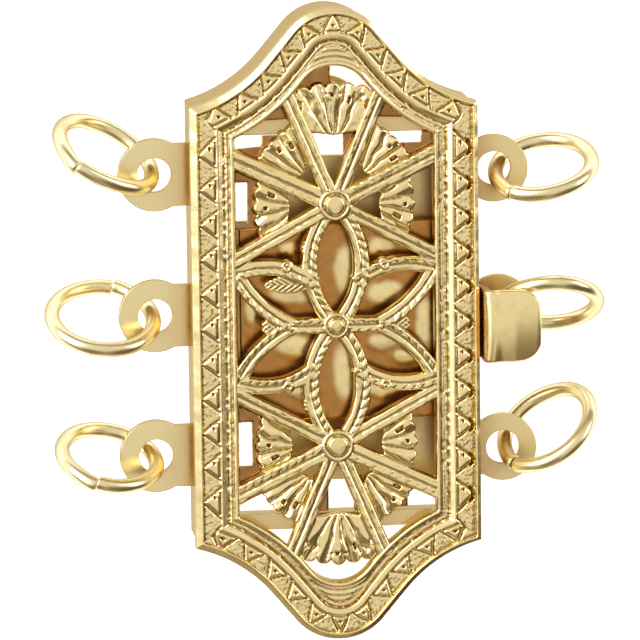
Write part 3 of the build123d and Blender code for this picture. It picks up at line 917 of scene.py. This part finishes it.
def gold(name, base, roughness, grain_scale, grain_depth, painted_shade=RECESS_SHADE, corner_shade=0.0, walls=0.0,
         soft_edge=0.0, shade_and_mottle=False, shadow_reach=0.0):
    """Gold with an uneven polish and a fine grain, with painted shade browning its hidden corners, its recesses
    or its upright walls, and a faint random brown mottle.
    """
    material, shader = principled(name, base, roughness)
    nodes = material.node_tree.nodes
    links = material.node_tree.links
    place = nodes.new("ShaderNodeTexCoord")
    noise = nodes.new("ShaderNodeTexNoise")
    noise.inputs["Scale"].default_value = grain_scale
    noise.inputs["Detail"].default_value = 4
    links.new(place.outputs["Object"], noise.inputs["Vector"])

    def remap(source, start, end, least, most):
        spread = nodes.new("ShaderNodeMapRange")
        for label, value in (("From Min", start), ("From Max", end), ("To Min", least), ("To Max", most)):
            spread.inputs[label].default_value = value
        links.new(source, spread.inputs["Value"])
        return spread.outputs["Result"]

    def joined(operation, first, second):
        math = nodes.new("ShaderNodeMath")
        math.operation = operation
        links.new(first, math.inputs[0])
        links.new(second, math.inputs[1])
        return math.outputs["Value"]

    links.new(remap(noise.outputs["Fac"], 0, 1, roughness * 0.7, roughness * 1.4), shader.inputs["Roughness"])
    bump = nodes.new("ShaderNodeBump")
    bump.inputs["Strength"].default_value = 0.5
    bump.inputs["Distance"].default_value = grain_depth * MM
    links.new(noise.outputs["Fac"], bump.inputs["Height"])
    links.new(bump.outputs["Normal"], shader.inputs["Normal"])
    if soft_edge:
        bevel = nodes.new("ShaderNodeBevel")
        bevel.samples = 6
        bevel.inputs["Radius"].default_value = soft_edge * MM
        links.new(bevel.outputs["Normal"], bump.inputs["Normal"])
    covers = []
    # Painted shade: corners that the occlusion finds hidden turn brown
    if corner_shade:
        corner = nodes.new("ShaderNodeAmbientOcclusion")
        corner.samples = occlusion_samples
        corner.inputs["Distance"].default_value = corner_shade_reach * MM
        covers.append(remap(corner.outputs["AO"], 0.9, 0.45, 0, corner_shade))
    # Painted shade: steep, upright faces turn brown, broken up by the grain noise
    if walls:
        facing = nodes.new("ShaderNodeNewGeometry")
        split = nodes.new("ShaderNodeSeparateXYZ")
        links.new(facing.outputs["Normal"], split.inputs["Vector"])
        steep = remap(split.outputs["Z"], 0.6, 0.2, 0, walls)
        covers.append(joined("MULTIPLY", steep, remap(noise.outputs["Fac"], 0.3, 0.7, 0.6, 1)))
    # Painted shade stored on the points of the mesh, joined with a faint random brown mottle from the grain
    # noise
    if shade_and_mottle:
        recess = nodes.new("ShaderNodeAttribute")
        recess.attribute_name = "painted_shade_level"
        covers += [recess.outputs["Fac"], remap(noise.outputs["Fac"], 0.35, 0.75, 0, 0.1)]
    # Painted shade is kept to where something overhead is near, as on the leaf under the cover
    if shadow_reach:
        roof = nodes.new("ShaderNodeAmbientOcclusion")
        roof.samples = occlusion_samples
        roof.inputs["Distance"].default_value = shadow_reach * MM
        covers[0] = joined("MULTIPLY", covers[0], remap(roof.outputs["AO"], 0.95, 0.7, 0, 1))
    if covers:
        level = covers[0]
        for cover in covers[1:]:
            level = joined("MAXIMUM", level, cover)
        blend = nodes.new("ShaderNodeMix")
        blend.data_type = "RGBA"
        blend.inputs["A"].default_value = (*base, 1)
        blend.inputs["B"].default_value = (*painted_shade, 1)
        links.new(level, blend.inputs["Factor"])
        links.new(blend.outputs["Result"], shader.inputs["Base Color"])
    return material


# The brown colours given to these materials are painted shade in corners, recesses, on walls and under the
# cover
polished = gold("polished_gold", LUG_GOLD, 0.2, 2500, 0.005, BOX_AND_TONGUE_SHADE, corner_shade=0.5, walls=0.3,
                soft_edge=0.05)
satin = gold("satin_gold", GOLD, 0.35, 6000, 0.006, BOX_AND_TONGUE_SHADE, corner_shade=0.75, soft_edge=0.04)
cast = gold("cast_gold", CAST_GOLD, 0.2, 4000, 0.008, shade_and_mottle=True)
wire = gold("wire_gold", WIRE_GOLD, 0.28, 1200, 0.005)
leaf = gold("leaf_gold", CAST_GOLD, 0.24, 3000, 0.005, SHEET_SHADE, shade_and_mottle=True, shadow_reach=3)


def dress(node, material):
    """Gives a carried-over node its material."""
    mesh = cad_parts[node].data
    mesh.materials.clear()
    mesh.materials.append(material)


dress("box_frame", polished)
cover_rim = relief_piece("cover_rim", rim_field, rim_height, rim_bottom)
cover_filigree = relief_piece("cover_filigree", filigree_field, filigree_height, filigree_bottom)
for piece in (cover_rim, cover_filigree):
    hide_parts("filigree_cover")
    piece.data.materials.append(cast)
dress("tongue_plate", satin)
leaf_piece().data.materials.append(leaf)
for row in rings:
    ring_piece(row).data.materials.append(wire)


# Table, studio and camera
floor_drop = 0.01
world_strength = 2


def make_floor():
    """Plain white table under the clasp."""
    mesh = bpy.data.meshes.new("floor")
    reach = 3.0
    corners = [(-reach, -reach, 0), (reach, -reach, 0), (reach, reach, 0), (-reach, reach, 0)]
    mesh.from_pydata(corners, [], [(0, 1, 2, 3)])
    floor = bpy.data.objects.new("floor", mesh)
    bpy.context.scene.collection.objects.link(floor)
    material, shader = principled("white_table", (0.9, 0.9, 0.9), 0.9, 0.0)
    shader.inputs["Emission Color"].default_value = (1, 1, 1, 1)
    shader.inputs["Emission Strength"].default_value = 0.9
    mesh.materials.append(material)
    floor.visible_glossy = False
    floor.location = (0, 0, -floor_drop * MM)


make_floor()


def make_world():
    """Studio round the clasp: grey overhead, a dark gap at the horizon, two darker cards low in front."""
    world = bpy.data.worlds.new("studio")
    world.use_nodes = True
    bpy.context.scene.world = world
    nodes = world.node_tree.nodes
    links = world.node_tree.links
    place = nodes.new("ShaderNodeTexCoord")
    split = nodes.new("ShaderNodeSeparateXYZ")
    height = nodes.new("ShaderNodeMapRange")
    height.inputs["From Min"].default_value = -1
    ramp = nodes.new("ShaderNodeValToRGB")
    stops = ramp.color_ramp.elements
    levels = [(0.0, 0.35), (0.1, 0.4), (0.3, 0.85), (0.46, 0.95), (0.5, 0.05), (0.58, 0.05), (0.7, 0.33),
              (0.85, 0.42), (1.0, 0.4)]
    for index, (position, level) in enumerate(levels):
        stop = stops[index] if index < 2 else stops.new(position)
        stop.position = position
        stop.color = (level, level, level, 1)
    links.new(place.outputs["Generated"], split.inputs["Vector"])
    links.new(split.outputs["Z"], height.inputs["Value"])
    links.new(height.outputs["Result"], ramp.inputs["Fac"])
    level = ramp.outputs["Color"]
    cards = (((0.7, -0.5, 0.5), 0.72, 0.92, 0.12), ((-0.3, -0.62, 0.72), 0.86, 0.96, 0.2))
    for facing, outer, inner, least in cards:
        card = nodes.new("ShaderNodeVectorMath")
        card.operation = "DOT_PRODUCT"
        card.inputs[1].default_value = Vector(facing).normalized()
        links.new(place.outputs["Generated"], card.inputs[0])
        shade = nodes.new("ShaderNodeMapRange")
        shade.interpolation_type = "SMOOTHSTEP"
        shade.inputs["From Min"].default_value = outer
        shade.inputs["From Max"].default_value = inner
        shade.inputs["To Min"].default_value = 1.0
        shade.inputs["To Max"].default_value = least
        links.new(card.outputs["Value"], shade.inputs["Value"])
        darker = nodes.new("ShaderNodeMath")
        darker.operation = "MULTIPLY"
        links.new(level, darker.inputs[0])
        links.new(shade.outputs["Result"], darker.inputs[1])
        level = darker.outputs["Value"]
    tint = nodes.new("ShaderNodeValToRGB")
    first, last = tint.color_ramp.elements
    first.color = (0.02, 0.008, 0.003, 1)
    last.color = (1, 1, 1, 1)
    middle = tint.color_ramp.elements.new(0.15)
    middle.color = (0.18, 0.142, 0.09, 1)
    nodes["Background"].inputs["Strength"].default_value = world_strength
    links.new(level, tint.inputs["Fac"])
    links.new(tint.outputs["Color"], nodes["Background"].inputs["Color"])


make_world()


def area_light(name, place, size, radiance, target=(0, 0, 0.003)):
    """Soft rectangular light that faces the clasp."""
    data = bpy.data.lights.new(name, "AREA")
    data.shape = "RECTANGLE"
    data.size, data.size_y = size
    data.energy = radiance * pi * size[0] * size[1]
    light = bpy.data.objects.new(name, data)
    light.location = place
    light.rotation_euler = (Vector(target) - Vector(place)).to_track_quat("-Z", "Y").to_euler()
    bpy.context.scene.collection.objects.link(light)
    return light


area_light("key", (-0.36, 0.18, 0.25), (0.5, 0.34), 3.2)
area_light("side_light", (0.38, 0.1, 0.2), (0.3, 0.16), 3)


def make_camera():
    """Camera a little above and to the left of the clasp's axis, as in the photograph."""
    lean = Vector((-0.1126, 0.1687, 1.0)).normalized()
    roll = radians(-0.74)
    distance = 0.2535
    target = Vector((-0.652, 0.273, 3.6)) * MM
    scale = 26.233 / MM
    frame_pixels = 640
    forward = -lean
    right = forward.cross(Vector((0, 1, 0))).normalized()
    up = right.cross(forward)
    right, up = right * cos(roll) + up * sin(roll), up * cos(roll) - right * sin(roll)
    data = bpy.data.cameras.new("camera")
    data.sensor_width = 36
    data.lens = scale * distance / frame_pixels * data.sensor_width
    data.clip_start = 0.01
    data.clip_end = 10
    camera = bpy.data.objects.new("camera", data)
    turn = Matrix((right, up, lean)).transposed().to_4x4()
    camera.matrix_world = Matrix.Translation(target + lean * distance) @ turn
    bpy.context.scene.collection.objects.link(camera)
    bpy.context.scene.camera = camera


make_camera()
bpy.context.scene.view_settings.view_transform = "Standard"

bpy.context.view_layer.update()
